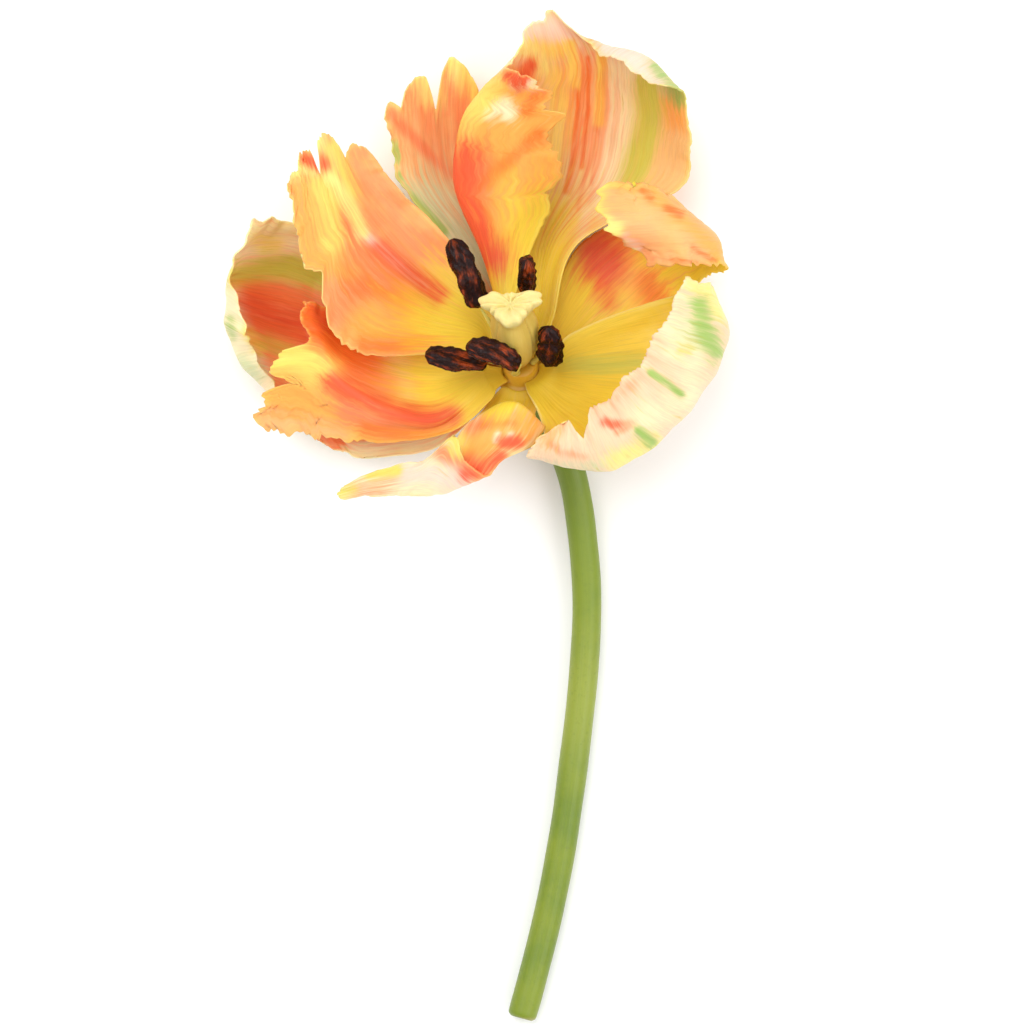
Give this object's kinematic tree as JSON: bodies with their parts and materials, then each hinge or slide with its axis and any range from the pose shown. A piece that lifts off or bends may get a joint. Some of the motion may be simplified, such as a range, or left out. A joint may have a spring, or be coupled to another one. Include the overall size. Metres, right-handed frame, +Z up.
{
  "type": "flower",
  "caption": "Cut parrot tulip lying on its side, wide open, with ragged orange, yellow and green tepals, dark anthers, a pale stigma and a long bare green stem.",
  "frame": {"origin": "centre of the bounding box in plan, at the height of the surface the flower lies on", "axes": "+Y from the cut end of the stem to the bloom, +X to the right seen from above, +Z up"},
  "size_m": [0.1204, 0.2428, 0.0441],
  "materials": {
    "stem_green": "satin",
    "tepal_orange": "satin",
    "tepal_cream": "satin",
    "pistil_olive": "satin",
    "filament_yellow": "satin",
    "anther_dark": "matte"
  },
  "bodies": {
    "root": {"stem": "stem_green", "tepal_top": "tepal_orange", "tepal_top_left": "tepal_orange", "tepal_upper_left": "tepal_orange", "tepal_far_left": "tepal_orange", "tepal_lower_left": "tepal_orange", "tepal_bottom": "tepal_orange", "tepal_right": "tepal_cream", "tepal_upper_right": "tepal_orange", "pistil": "pistil_olive", "filament_upper_left": "filament_yellow", "filament_top": "filament_yellow", "filament_right": "filament_yellow", "filament_left": "filament_yellow", "filament_front": "filament_yellow", "filament_hidden": "filament_yellow", "anther_upper_left": "anther_dark", "anther_top": "anther_dark", "anther_right": "anther_dark", "anther_left": "anther_dark", "anther_front": "anther_dark", "anther_hidden": "anther_dark"}
  },
  "joints": []
}
